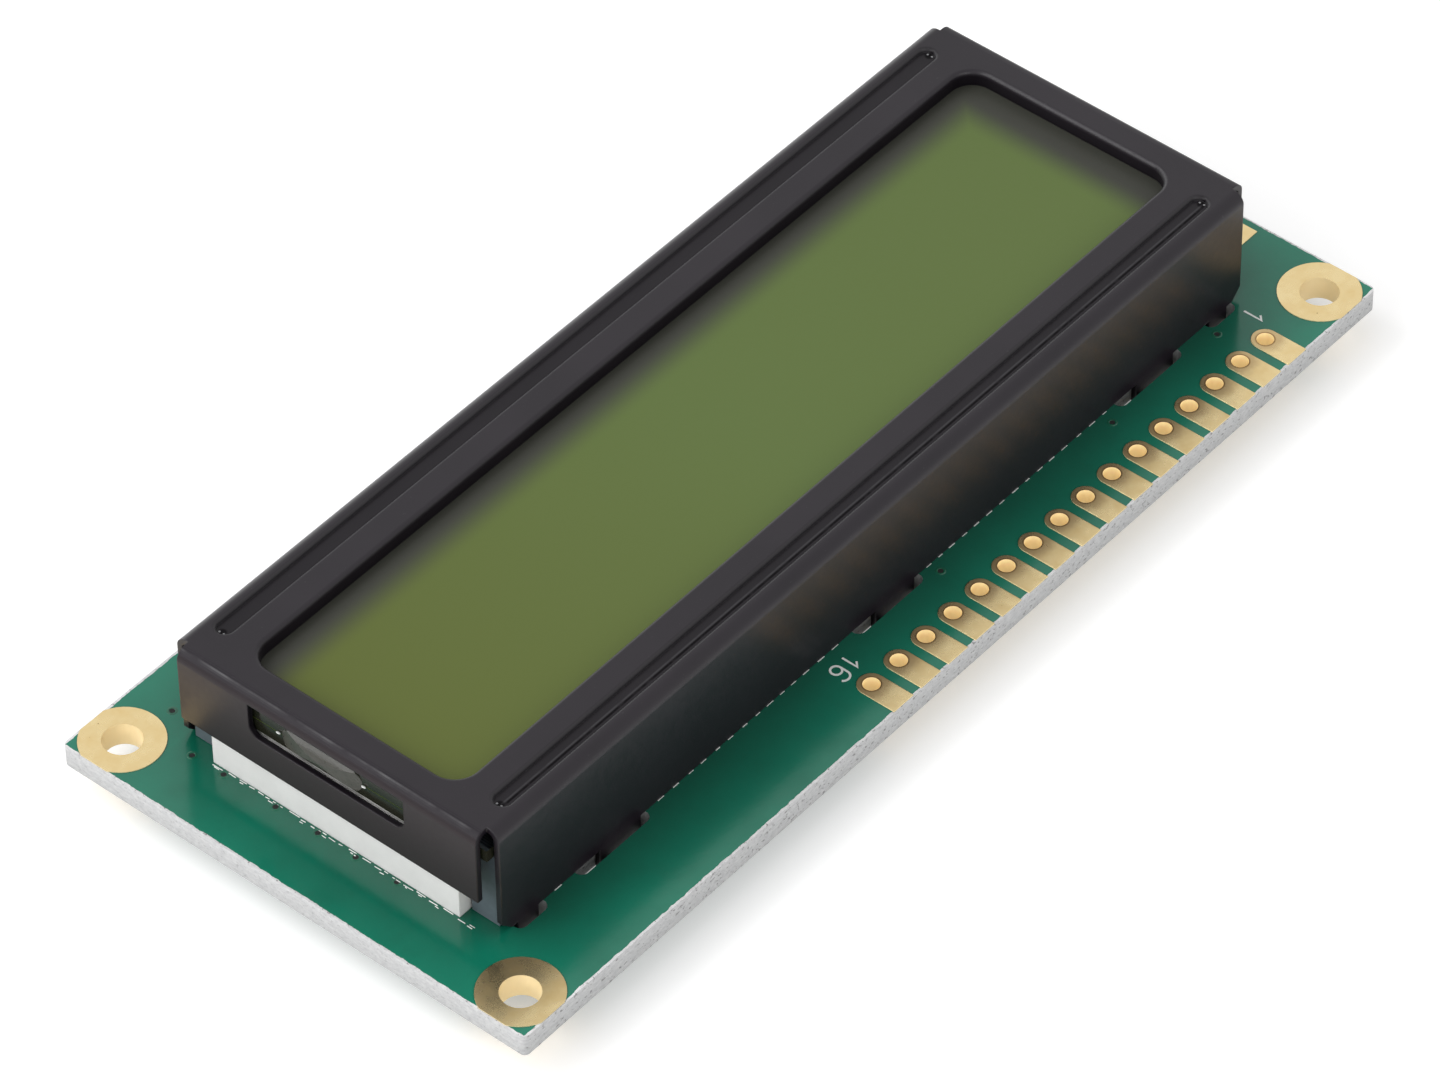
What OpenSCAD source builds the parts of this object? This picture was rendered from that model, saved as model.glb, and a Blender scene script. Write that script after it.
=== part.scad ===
// Character LCD module: a circuit board that carries a display cell under a folded metal bezel.
// Origin: centre of the four mounting holes, on the board's back face. Lengths are in mm.
// +X runs along the header from pin 1 to pin 16, +Y points to the header edge, +Z to the viewer.

/* [Circuit board] */
// Length of the board
board_w = 80; // [78:0.5:90]
// Width of the board
board_h = 36; // [35:0.5:44]
// Thickness of the board
board_t = 1.6; // [1.2:0.1:2]
// Corner radius of the board
board_corner_r = 0.4; // [0.2:0.1:1]
// Thickness of a copper land with its plating
copper_t = 0.05; // [0.04:0.01:0.1]

/* [Mounting holes] */
// Distance from a mounting hole to the board's short edge
mount_inset_x = 2.5; // [2.3:0.1:3.2]
// Distance from a mounting hole to the board's long edge
mount_inset_y = 2.5; // [2.3:0.1:3.2]
// Finished diameter of a mounting hole
mount_hole_d = 2.5; // [2:0.1:3.2]
// Diameter of the gold land round a mounting hole
mount_land_d = 5.3; // [4.4:0.1:6]

/* [Header pads] */
// Number of header pads
pin_count = 16; // [12:1:18]
// Distance between header holes
pin_pitch = 2.54; // [2.2:0.01:2.6]
// Distance from the board's left end to the first header hole
pin_first_inset = 8; // [7:0.5:12]
// Distance from the header holes to the board's long edge
pin_edge_inset = 2.5; // [1.6:0.1:2.8]
// Finished diameter of a header hole
pin_hole_d = 1.1; // [0.8:0.05:1.15]
// Width of a header pad
pin_pad_w = 1.8; // [1.5:0.1:2]

/* [Supply pads] */
// Side of a bare supply pad at the left end
supply_pad_size = 2.8; // [2:0.1:3.2]
// Distance from the board's left end to a supply pad
supply_pad_inset = 0.6; // [0.4:0.1:1]
// Distance between the centres of the two supply pads
supply_pad_pitch = 15.6; // [10:0.2:18]

/* [Bezel position] */
// Distance from the board's left end to the bezel
bezel_left_margin = 4.85; // [4.5:0.05:7]
// Distance from the board's right end to the bezel
bezel_right_margin = 4.15; // [3.6:0.05:6]
// Distance from the board's header edge to the bezel
bezel_top_margin = 6.15; // [5.6:0.05:8]
// Distance from the board's lower edge to the bezel
bezel_bottom_margin = 5.05; // [4.5:0.05:8]

/* [Bezel sheet] */
// Height of the bezel's face above the board
bezel_rise = 8.4; // [8:0.1:9.4]
// Thickness of the sheet metal
sheet_t = 0.4; // [0.3:0.05:0.5]
// Inner radius of the folds
fold_inner_r = 0.4; // [0.1:0.05:0.45]
// Distance from the bezel's end to the end of a long wall
long_wall_relief = 1; // [0.9:0.1:1.6]
// Distance from the bezel's side to the end of an end wall
end_wall_relief = 0.9; // [0.8:0.05:1.4]
// Height of the end walls' lower edge above the board
end_wall_lift = 2.9; // [2.2:0.1:3.2]
// Bevel at the lower corners of the long walls
wall_bevel = 0.8; // [0.2:0.1:0.8]

/* [Bezel window] */
// Width of the bezel's face at each end of the window
window_end_rim = 2.4; // [2.2:0.1:4]
// Width of the bezel's face at each side of the window
window_side_rim = 4.3; // [4.1:0.1:5]
// Corner radius of the viewing window
window_r = 1.6; // [1:0.1:2.5]
// Radius of the rolled upper edge of the window
window_roll = 0.3; // [0.1:0.05:0.35]
// Distance that the window's turned-down lip reaches below the bezel's face
window_depth = 1.1; // [1:0.05:1.3]

/* [Bezel beads] */
// Distance from the bezel's side to a bead's centre line
bead_edge_inset = 1.7; // [1.6:0.05:1.9]
// Distance from the bezel's end to a bead's end
bead_end_inset = 2.8; // [2.4:0.1:6]
// Width of a bead's groove
bead_w = 1.1; // [0.9:0.05:1.2]
// Depth of a bead's groove
bead_depth = 0.3; // [0.3:0.05:0.4]
// Thickness of the stretched metal at a bead's sides
bead_side_t = 0.3; // [0.2:0.05:0.4]
// Radius of the rolled upper edge of a bead
bead_roll = 0.25; // [0.1:0.01:0.25]

/* [Bezel tabs] */
// Distance from a long wall's end to the middle of the outer tabs' slots
tab_inset = 9.4; // [8:0.1:12]
// Number of fixing tabs on a long wall
tab_count = 3; // [2:1:3]
// Width of a fixing tab
tab_w = 3.6; // [3:0.1:4]
// Distance that a tab's twisted tip is narrower at each side
tab_neck = 0.3; // [0.1:0.1:0.6]
// Angle through which a tab's tip is twisted
tab_twist = 32; // [20:1:45]
// Distance that a tab's tip reaches below the board
tab_reach = 2; // [1.6:0.1:2.4]
// Distance from a long wall's end to a locating foot
foot_inset = 2.2; // [1.8:0.1:3]
// Width of a locating foot
foot_w = 1.8; // [1:0.1:1.9]
// Distance that a locating foot enters the board
foot_depth = 1; // [0.6:0.1:1.2]

/* [Board slots] */
// Clearance before a fixing tab in its board slot
tab_slot_gap = 0.4; // [0.4:0.05:0.6]
// Room left for twisting after a fixing tab in its board slot
tab_slot_room = 2.25; // [1.5:0.05:2.5]
// Clearance at each side of a locating foot
foot_slot_gap = 0.4; // [0.4:0.05:0.6]
// Clearance inside the sheet in a board slot
slot_inner_gap = 0.05; // [0.05:0.01:0.1]
// Clearance outside the sheet in a board slot
slot_outer_gap = 0.6; // [0.3:0.05:0.7]

/* [Display cell] */
// Clearance between the cell and the bezel
cell_gap = 0.1; // [0.05:0.05:0.2]
// Thickness of one sheet of glass
glass_t = 0.9; // [0.7:0.05:1]
// Width of the front glass's contact ledge
contact_ledge = 2.3; // [2:0.1:2.4]
// Thickness of the seal between the glasses
seal_t = 0.05; // [0.05:0.01:0.1]
// Width of the seal's line
seal_w = 1; // [0.8:0.1:1.5]
// Distance from the seal to the rear glass's edge
seal_inset = 0.4; // [0.2:0.1:1]
// Distance that the front polarizer reaches past the window
front_film_margin = 1; // [0.8:0.05:1.2]
// Thickness of the front polarizer
front_film_t = 0.2; // [0.15:0.01:0.3]
// Distance from a rear film to the rear glass's edge
rear_film_margin = 0.05; // [0.05:0.05:1]
// Thickness of the rear polarizer with its half-mirror
rear_film_t = 0.25; // [0.2:0.01:0.35]

/* [Filling port] */
// Length of the resin plug over the filling port
plug_w = 6.2; // [4:0.1:8]
// Distance from the plug to the outer faces of the glasses
plug_inset = 0.1; // [0.05:0.05:0.3]
// Distance that the plug bulges from the glass
plug_bulge = 0.42; // [0.2:0.02:0.5]
// Offset of the plug from the middle of the end
plug_shift = -0.7; // [-1:0.1:1]
// Room at each end of the plug in the bezel's end slot
end_slot_room = 2.9; // [1.2:0.1:4]
// Distance from the bezel's face to the end slot's upper edge
end_slot_inset = 0.8; // [0.7:0.05:0.9]
// Distance from the rear glass to the end slot's lower edge
end_slot_drop = 0.15; // [0.05:0.05:0.2]
// Radius of the end slot's lower corners
end_slot_r = 0.8; // [0.3:0.1:1]

/* [Backlight] */
// Distance that the housing's base stands back from the bezel's end
housing_setback = 0.45; // [0.3:0.05:0.6]
// Clearance between the housing and the bezel's end wall
housing_end_gap = 0.3; // [0.1:0.05:0.5]
// Clearance between the housing's base and the end wall's lower edge
housing_base_gap = 0.1; // [0.05:0.05:0.3]
// Thickness of the housing's walls
housing_wall = 1.4; // [1:0.1:2]
// Thickness of the housing's floor
housing_floor = 0.6; // [0.5:0.1:1]
// Width of the ledge that carries the diffuser
diffuser_ledge = 0.6; // [0.4:0.1:0.8]
// Clearance round the diffuser
diffuser_gap = 0.1; // [0.05:0.05:0.3]
// Thickness of the milky diffuser plate
diffuser_t = 1; // [0.8:0.1:1.4]
// Thickness of the diffusing film
light_film_t = 0.2; // [0.15:0.05:0.3]
// Clearance round the light board
light_board_gap = 0.2; // [0.1:0.05:0.5]
// Thickness of the light board
light_board_t = 0.8; // [0.6:0.1:1]
// Distance between light chips along the housing
chip_pitch = 5.2; // [4:0.1:8]
// Distance between the two rows of light chips
chip_row_pitch = 7; // [4:0.5:9]
// Side of a light chip
chip_size = 0.6; // [0.3:0.1:1]
// Height of a light chip
chip_t = 0.3; // [0.2:0.05:0.5]

/* [Backlight pins] */
// Distance from the backlight pins to the light board's end
light_pin_inset = 1.4; // [1.2:0.1:1.8]
// Distance from the backlight pins to the light board's sides
light_pin_side_inset = 1.8; // [1.2:0.1:4]
// Side of a square backlight pin
light_pin_size = 0.5; // [0.4:0.05:0.55]
// Finished diameter of a backlight pin's hole
light_pin_hole_d = 0.8; // [0.8:0.05:1]
// Diameter of the land round a backlight pin
light_pin_land_d = 2; // [1.6:0.1:2.4]
// Distance that a backlight pin reaches below the board
light_pin_reach = 1.2; // [0.9:0.1:1.6]
// Height of the solder cone on a backlight pin
solder_h = 0.7; // [0.4:0.1:0.8]

/* [Contact strips] */
// Clearance at each side of a contact strip
strip_gap = 0.15; // [0.05:0.05:0.25]
// Distance from a contact strip's end to the end of the bezel's long wall
strip_end_gap = 0.35; // [0.2:0.05:1]
// Distance between gold contacts
contact_pitch = 1.38; // [1.1:0.01:2]
// Width of a gold contact
contact_w = 0.7; // [0.4:0.05:0.9]
// Distance from a gold contact's end to the strip's edge
contact_margin = 0.15; // [0.1:0.05:0.4]

/* [Driver circuits] */
// Diameter of the resin cap over a driver circuit
cap_d = 13; // [10:0.5:15]
// Height of a resin cap
cap_rise = 1.4; // [1:0.1:1.6]
// Distance between the centres of the two caps
cap_pitch = 30; // [28:0.5:36]
// Side of a bare silicon die
die_size = 4; // [3:0.1:5]
// Thickness of a bare silicon die
die_t = 0.4; // [0.3:0.05:0.6]

/* [Chip components] */
// Length of a chip component
chip_part_len = 2; // [1.6:0.1:2.4]
// Width of a chip component
chip_part_w = 1.25; // [0.8:0.05:1.6]
// Length of the metal terminal at each end
terminal_len = 0.4; // [0.2:0.05:0.5]
// Thickness of a chip resistor
resistor_t = 0.5; // [0.4:0.05:0.6]
// Thickness of a chip capacitor
capacitor_t = 0.8; // [0.6:0.05:1]
// Number of chip resistors
resistor_count = 6; // [1:1:6]
// Number of chip capacitors
capacitor_count = 3; // [1:1:4]
// Distance between neighbouring chip components
chip_part_pitch = 2.6; // [2.2:0.1:3.2]
// Distance from the board's slots to the middle of the row of chip components
chip_row_inset = 3.4; // [3.2:0.1:4.2]
// Distance from the resin caps to the middle of the row of chip components
chip_row_gap = 2.8; // [2:0.1:3.2]
// Length of a solder fillet
fillet_len = 0.5; // [0.3:0.05:0.6]
// Height of a solder fillet
fillet_h = 0.35; // [0.2:0.05:0.4]
// Distance that a land reaches past the solder
land_margin = 0.1; // [0.05:0.05:0.2]

/* [Hidden] */
$fn = 48;

// A cutter starts and ends this far outside what it cuts
cut = 1;

// Levels of the stack, measured from the board's back face
face_z = board_t + bezel_rise;
film_top_z = face_z - window_depth;
cell_top_z = film_top_z - front_film_t;
front_glass_z = cell_top_z - glass_t;
rear_glass_z = front_glass_z - seal_t - glass_t;
rear_film_z = rear_glass_z - rear_film_t;
housing_top_z = rear_film_z - light_film_t;
light_board_z = board_t + housing_floor;
chips_z = light_board_z + light_board_t;
end_wall_z = board_t + end_wall_lift;
housing_base_t = end_wall_lift - housing_base_gap;

// The bezel's outer size and the display's centre
bezel_w = board_w - bezel_left_margin - bezel_right_margin;
bezel_h = board_h - bezel_top_margin - bezel_bottom_margin;
display_x = (bezel_left_margin - bezel_right_margin) / 2;
display_y = (bezel_bottom_margin - bezel_top_margin) / 2;

// The bezel's walls, window and beads
fold_r = sheet_t + fold_inner_r;
wall_inner_x = bezel_w / 2 - sheet_t;
wall_inner_y = bezel_h / 2 - sheet_t;
long_wall_len = bezel_w - 2 * long_wall_relief;
end_wall_len = bezel_h - 2 * end_wall_relief;
window_size = [bezel_w - 2 * window_end_rim, bezel_h - 2 * window_side_rim];
bead_len = bezel_w - 2 * bead_end_inset;
bead_y = bezel_h / 2 - bead_edge_inset;
tab_y = wall_inner_y + sheet_t / 2;
foot_x = long_wall_len / 2 - foot_inset;
tab_span = long_wall_len - 2 * tab_inset;

// The board's slots, measured from the display's centre
tab_slot_len = tab_slot_gap + tab_w + tab_slot_room;
tab_shift = tab_slot_gap + tab_w / 2 - tab_slot_len / 2;
foot_slot_len = foot_w + 2 * foot_slot_gap;
board_slot_h = slot_inner_gap + sheet_t + slot_outer_gap;
board_slot_y = wall_inner_y - slot_inner_gap + board_slot_h / 2;

// The cell and what lies in line with it
glass_w = 2 * (wall_inner_x - cell_gap);
front_glass_h = 2 * (wall_inner_y - cell_gap);
rear_glass_h = front_glass_h - 2 * contact_ledge;
seal_size = [glass_w - 2 * seal_inset, rear_glass_h - 2 * seal_inset];
front_film_size = window_size + 2 * front_film_margin * [1, 1];
rear_film_size = [glass_w - 2 * rear_film_margin, rear_glass_h - 2 * rear_film_margin];
plug_h = 2 * glass_t + seal_t - 2 * plug_inset;
end_slot_len = plug_w + 2 * end_slot_room;
end_slot_z = rear_glass_z - end_slot_drop;
end_slot_h = face_z - end_slot_inset - end_slot_z;

// The backlight below the cell
housing_h = rear_glass_h;
housing_base_w = bezel_w - 2 * housing_setback;
housing_top_w = 2 * (wall_inner_x - housing_end_gap);
cavity_size = [housing_top_w - 2 * housing_wall, housing_h - 2 * housing_wall];
diffuser_size = cavity_size + 2 * (diffuser_ledge - diffuser_gap) * [1, 1];
light_board_size = cavity_size - 2 * light_board_gap * [1, 1];
chip_columns = floor((light_board_size[0] - 2 * light_pin_inset - light_pin_land_d) / chip_pitch);

// The contact strips between the housing and the bezel's long walls
strip_pocket = wall_inner_y - housing_h / 2;
strip_h = strip_pocket - 2 * strip_gap;
strip_w = long_wall_len - 2 * strip_end_gap;
strip_y = wall_inner_y - strip_pocket / 2;
strip_z = board_t + copper_t;
contact_len = strip_h - 2 * contact_margin;
contact_count = floor((strip_w - contact_w) / contact_pitch);

// Places of what repeats
mount_x = board_w / 2 - mount_inset_x;
mount_y = board_h / 2 - mount_inset_y;
mount_places = [for (x = [-mount_x, mount_x], y = [-mount_y, mount_y]) [x, y]];
pin_x = [for (i = [0 : pin_count - 1]) pin_first_inset - board_w / 2 + i * pin_pitch];
pin_y = board_h / 2 - pin_edge_inset;
supply_x = supply_pad_inset + supply_pad_size / 2 - board_w / 2;
tab_x = [for (i = [0 : tab_count - 1]) (i / (tab_count - 1) - 1 / 2) * tab_span];
contact_x = [for (i = [0 : contact_count - 1]) (i - (contact_count - 1) / 2) * contact_pitch];
chip_x = [for (i = [0 : chip_columns - 1]) (i - (chip_columns - 1) / 2) * chip_pitch];
light_pin_x = light_pin_inset - light_board_size[0] / 2;
light_pin_y = light_board_size[1] / 2 - light_pin_side_inset;
light_pin_places = [for (y = [-light_pin_y, light_pin_y]) [light_pin_x, y]];

// Chip components stand in one row: resistors first, then a free place, then capacitors
row_count = resistor_count + 1 + capacitor_count;
row_x = [for (i = [0 : row_count - 1]) (i - (row_count - 1) / 2) * chip_part_pitch];
resistor_x = [for (i = [0 : resistor_count - 1]) row_x[i]];
capacitor_x = [for (i = [resistor_count + 1 : row_count - 1]) row_x[i]];
chip_part_y = display_y + board_slot_y - board_slot_h / 2 - chip_row_inset;
cap_y = chip_part_y - chip_row_gap - cap_d / 2;
body_len = chip_part_len - 2 * terminal_len;

// ---- Placing ----

module at_display(z = 0) {
  translate([display_x, display_y, z]) children();
}

// Turned over, so that heights are measured outwards from the board's back
module on_back() {
  mirror([0, 0, 1]) children();
}

// ---- Shapes ----

module plate(size, t) {
  translate([-size[0] / 2, -size[1] / 2, 0]) cube([size[0], size[1], t]);
}

module round_rect(size, r) {
  square([size[0] - 2 * r, size[1]], center = true);
  square([size[0], size[1] - 2 * r], center = true);
  for (x = [-1, 1], y = [-1, 1])
    translate([x * (size[0] / 2 - r), y * (size[1] / 2 - r)]) circle(r = r);
}

// A slot's outline with full-round ends
module stadium(len, w) {
  square([len - w, w], center = true);
  for (side = [-1, 1]) translate([side * (len - w) / 2, 0]) circle(d = w);
}

// ---- Circuit board ----

module board_outline(inset = 0) {
  round_rect([board_w - 2 * inset, board_h - 2 * inset], board_corner_r);
}

module board_slots() {
  for (side = [-1, 1]) {
    for (x = tab_x)
      translate([x, side * board_slot_y]) stadium(tab_slot_len, board_slot_h);
    for (x = [-foot_x, foot_x])
      translate([x, side * board_slot_y]) stadium(foot_slot_len, board_slot_h);
  }
}

// Drilled for a plated barrel of the given finished diameter
module drilling(finished_d) {
  translate([0, 0, -cut]) cylinder(d = finished_d + 2 * copper_t, h = board_t + 2 * cut);
}

module circuit_board() {
  color("seagreen")
  difference() {
    linear_extrude(board_t) board_outline();
    for (place = mount_places) translate(place) drilling(mount_hole_d);
    for (x = pin_x) translate([x, pin_y]) drilling(pin_hole_d);
    at_display() for (place = light_pin_places) translate(place) drilling(light_pin_hole_d);
    at_display(-cut) linear_extrude(board_t + 2 * cut) board_slots();
  }
}

// A plated hole: the child is the outline of its land on each face
module plated_hole(finished_d, front = true) {
  difference() {
    union() {
      on_back() linear_extrude(copper_t) children();
      if (front) translate([0, 0, board_t]) linear_extrude(copper_t) children();
      cylinder(d = finished_d + 2 * copper_t, h = board_t);
    }
    translate([0, 0, -cut]) cylinder(d = finished_d, h = board_t + 2 * cut);
  }
}

module mounting_lands() {
  color("goldenrod")
  for (place = mount_places) translate(place) plated_hole(mount_hole_d) intersection() {
    circle(d = mount_land_d);
    translate(-place) board_outline(copper_t);
  }
}

module header_pads() {
  color("goldenrod")
  for (x = pin_x) translate([x, pin_y]) plated_hole(pin_hole_d) {
    circle(d = pin_pad_w);
    translate([-pin_pad_w / 2, 0]) square([pin_pad_w, pin_edge_inset - copper_t]);
  }
}

module supply_pads() {
  color("goldenrod")
  for (side = [-1, 1]) translate([supply_x, side * supply_pad_pitch / 2, board_t])
    plate([supply_pad_size, supply_pad_size], copper_t);
}

module contact_fingers() {
  color("gold")
  at_display(board_t) for (side = [-1, 1], x = contact_x)
    translate([x, side * strip_y]) plate([contact_w, contact_len], copper_t);
}

// ---- Bezel, one folded and pierced sheet ----

// Outline of a channel's outer or inner face, with its top at y = 0
module fold_outline(w, leg, r) {
  translate([-w / 2, -leg]) square([w, leg - r]);
  translate([r - w / 2, -leg]) square([w - 2 * r, leg]);
  for (side = [-1, 1]) translate([side * (w / 2 - r), -r]) circle(r = r);
}

// Sheet folded down along two sides: w across the folds, len along them
module channel(w, leg, len) {
  translate([0, 0, face_z]) rotate([90, 0, 0]) linear_extrude(len, center = true) difference() {
    fold_outline(w, leg, fold_r);
    translate([0, -sheet_t]) fold_outline(w - 2 * sheet_t, leg, fold_r - sheet_t);
  }
}

// Cuts the rolled edge at the rim of a hole that lies at x = 0
module roll_section(r) {
  difference() {
    translate([-r, -r]) square([2 * r, 2 * r]);
    translate([r, -r]) circle(r = r);
    translate([-r, -r]) square([r / 2, 2 * r]);
  }
}

// Rolled rim of a round-cornered opening in the face
module rolled_rim(size, corner_r, roll) {
  straight = [size[0] - 2 * corner_r, size[1] - 2 * corner_r];
  translate([0, 0, face_z]) for (turn = [0, 180]) rotate(turn) {
    for (side = [-1, 1]) translate([side * straight[0] / 2, straight[1] / 2, 0])
      rotate(side > 0 ? 0 : 90) rotate_extrude(angle = 90) translate([corner_r, 0]) roll_section(roll);
    translate([straight[0] / 2, size[1] / 2, 0]) rotate([90, 0, 90]) mirror([0, 0, 1])
      linear_extrude(straight[0]) roll_section(roll);
    if (straight[1] > 0)
      translate([size[0] / 2, straight[1] / 2, 0]) rotate([90, 0, 0])
        linear_extrude(straight[1]) roll_section(roll);
  }
}

// Metal pressed down under a bead
module bead_boss() {
  translate([0, 0, face_z - bead_depth - sheet_t]) linear_extrude(bead_depth + sheet_t / 2)
    stadium(bead_len + 2 * bead_side_t, bead_w + 2 * bead_side_t);
}

module bead_groove() {
  translate([0, 0, face_z - bead_depth]) linear_extrude(bead_depth + cut) stadium(bead_len, bead_w);
  rolled_rim([bead_len, bead_w], bead_w / 2, bead_roll);
}

// Rim of the window turned down onto the front polarizer
module window_lip() {
  translate([0, 0, film_top_z]) linear_extrude(window_depth - sheet_t / 2)
    round_rect(window_size + 2 * sheet_t * [1, 1], window_r + sheet_t);
}

module window_opening() {
  translate([0, 0, film_top_z - cut]) linear_extrude(window_depth + 2 * cut)
    round_rect(window_size, window_r);
  rolled_rim(window_size, window_r, window_roll);
}

// Slot in an end wall, rounded at its lower corners
module end_slot() {
  translate([wall_inner_x - cut, 0, end_slot_z + end_slot_h / 2]) rotate([90, 0, 90])
    linear_extrude(sheet_t + 2 * cut) {
      round_rect([end_slot_len, end_slot_h], end_slot_r);
      translate([-end_slot_len / 2, 0]) square([end_slot_len, end_slot_h / 2]);
    }
}

module wall_bevel_cut() {
  translate([long_wall_len / 2, 0, board_t]) rotate([0, 45, 0])
    cube([wall_bevel * sqrt(2), bezel_h + 2 * cut, wall_bevel * sqrt(2)], center = true);
}

// A straight shank in the board's slot and a tip twisted below the board
module fixing_tab() {
  plate([tab_w, sheet_t], board_t + cut);
  rotate(tab_twist) translate([0, 0, -tab_reach]) plate([tab_w - 2 * tab_neck, sheet_t], tab_reach);
}

module locating_foot() {
  translate([0, 0, board_t - foot_depth]) plate([foot_w, sheet_t], foot_depth + cut);
}

module bezel() {
  color("dimgray")
  at_display() {
    difference() {
      union() {
        rotate(90) channel(bezel_h, bezel_rise, long_wall_len);
        channel(bezel_w, face_z - end_wall_z, end_wall_len);
        window_lip();
        for (side = [-1, 1]) translate([0, side * bead_y]) bead_boss();
      }
      window_opening();
      for (side = [-1, 1]) translate([0, side * bead_y]) bead_groove();
      for (turn = [0, 180]) rotate(turn) {
        end_slot();
        wall_bevel_cut();
      }
    }
    for (side = [-1, 1]) {
      for (x = tab_x) translate([x + tab_shift, side * tab_y]) fixing_tab();
      for (x = [-foot_x, foot_x]) translate([x, side * tab_y]) locating_foot();
    }
  }
}

// ---- Display cell ----

module front_polarizer() {
  color("darkolivegreen") at_display(cell_top_z) plate(front_film_size, front_film_t);
}

module front_glass() {
  color("lightcyan") at_display(front_glass_z) plate([glass_w, front_glass_h], glass_t);
}

module perimeter_seal() {
  color("khaki") at_display(rear_glass_z + glass_t) difference() {
    plate(seal_size, seal_t);
    translate([0, 0, -cut]) plate(seal_size - 2 * seal_w * [1, 1], seal_t + 2 * cut);
  }
}

// Radius of an arc from its chord and its rise
function arc_r(chord, rise) = (chord * chord / 4 + rise * rise) / (2 * rise);

// Cushion of hardened resin on the cell's end
module port_plug() {
  $fn = 240;
  long_r = arc_r(plug_w, plug_bulge);
  short_r = arc_r(plug_h, plug_bulge);
  color("khaki") at_display(rear_glass_z + plug_inset + plug_h / 2)
  translate([glass_w / 2, plug_shift, 0]) intersection() {
    rotate([90, 0, 90]) linear_extrude(plug_bulge + cut) stadium(plug_w, plug_h);
    translate([plug_bulge - long_r, 0, -plug_h]) cylinder(r = long_r, h = 2 * plug_h);
    translate([plug_bulge - short_r, plug_w, 0]) rotate([90, 0, 0])
      cylinder(r = short_r, h = 2 * plug_w);
  }
}

module rear_glass() {
  color("lightcyan") at_display(rear_glass_z) plate([glass_w, rear_glass_h], glass_t);
}

module rear_polarizer() {
  color("olivedrab") at_display(rear_film_z) plate(rear_film_size, rear_film_t);
}

// ---- Contact strips ----

module contact_strip() {
  translate([0, 0, strip_z]) plate([strip_w, strip_h], front_glass_z - strip_z);
}

module contact_strip_upper() {
  color("lightsteelblue") at_display() translate([0, strip_y]) contact_strip();
}

module contact_strip_lower() {
  color("lightsteelblue") at_display() translate([0, -strip_y]) contact_strip();
}

// ---- Backlight ----

module diffusing_film() {
  color("white") at_display(housing_top_z) plate(rear_film_size, light_film_t);
}

module diffuser_plate() {
  color("ivory") at_display(housing_top_z - diffuser_t) plate(diffuser_size, diffuser_t);
}

// White tray: a wide base under the end walls, a narrower body above it
module backlight_housing() {
  body_size = [housing_top_w, housing_h];
  ledge_size = cavity_size + 2 * diffuser_ledge * [1, 1];
  color("white")
  at_display() difference() {
    translate([0, 0, board_t]) {
      plate([housing_base_w, housing_h], housing_base_t);
      plate(body_size, housing_top_z - board_t);
    }
    translate([0, 0, light_board_z]) plate(cavity_size, housing_top_z);
    translate([0, 0, housing_top_z - diffuser_t]) plate(ledge_size, housing_top_z);
    for (place = light_pin_places) translate(place) cylinder(d = light_pin_hole_d, h = face_z);
  }
}

module light_board() {
  color("ghostwhite") at_display(light_board_z) difference() {
    plate(light_board_size, light_board_t);
    for (place = light_pin_places) translate([place[0], place[1], -cut])
      plate([light_pin_size, light_pin_size], light_board_t + 2 * cut);
  }
}

module light_chips() {
  color("lightyellow") at_display(chips_z) for (x = chip_x, side = [-1, 1])
    translate([x, side * chip_row_pitch / 2]) plate([chip_size, chip_size], chip_t);
}

module backlight_pin(extra = 0) {
  translate([0, 0, -light_pin_reach - extra])
    plate([light_pin_size, light_pin_size], light_pin_reach + chips_z + 2 * extra);
}

module backlight_pins() {
  color("silver") at_display() for (place = light_pin_places) translate(place) backlight_pin();
}

module pin_lands() {
  color("goldenrod") at_display() for (place = light_pin_places) translate(place)
    plated_hole(light_pin_hole_d, front = false) circle(d = light_pin_land_d);
}

// A cone of solder below the board on each backlight pin
module pin_solder() {
  foot_r = light_pin_land_d / 2 - land_margin;
  color("silver") at_display() for (place = light_pin_places) translate(place) difference() {
    on_back() translate([0, 0, copper_t]) cylinder(r1 = foot_r, r2 = light_pin_size, h = solder_h);
    backlight_pin(cut);
  }
}

// ---- Driver circuits on the back ----

module die() {
  plate([die_size, die_size], die_t);
}

// A shallow dome of black resin poured over a die
module resin_cap() {
  $fn = 120;
  dome_r = arc_r(cap_d, cap_rise);
  difference() {
    intersection() {
      translate([0, 0, cap_rise - dome_r]) sphere(r = dome_r);
      cylinder(d = cap_d + cut, h = cap_rise + cut);
    }
    die();
  }
}

module controller_die() {
  color("dimgray") on_back() translate([-cap_pitch / 2, cap_y]) die();
}

module controller_cap() {
  color("black") on_back() translate([-cap_pitch / 2, cap_y]) resin_cap();
}

module driver_die() {
  color("dimgray") on_back() translate([cap_pitch / 2, cap_y]) die();
}

module driver_cap() {
  color("black") on_back() translate([cap_pitch / 2, cap_y]) resin_cap();
}

// ---- Chip components on the back ----

module chip_lands() {
  land_len = terminal_len + fillet_len + land_margin;
  land_w = chip_part_w + 2 * land_margin;
  color("goldenrod") on_back() for (x = concat(resistor_x, capacitor_x), side = [-1, 1])
    translate([x, chip_part_y + side * (body_len + land_len) / 2]) plate([land_w, land_len], copper_t);
}

module chip_resistors() {
  color("black") on_back() for (x = resistor_x)
    translate([x, chip_part_y, copper_t]) plate([chip_part_w, body_len], resistor_t);
}

module chip_capacitors() {
  color("tan") on_back() for (x = capacitor_x)
    translate([x, chip_part_y, copper_t]) plate([chip_part_w, body_len], capacitor_t);
}

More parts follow.
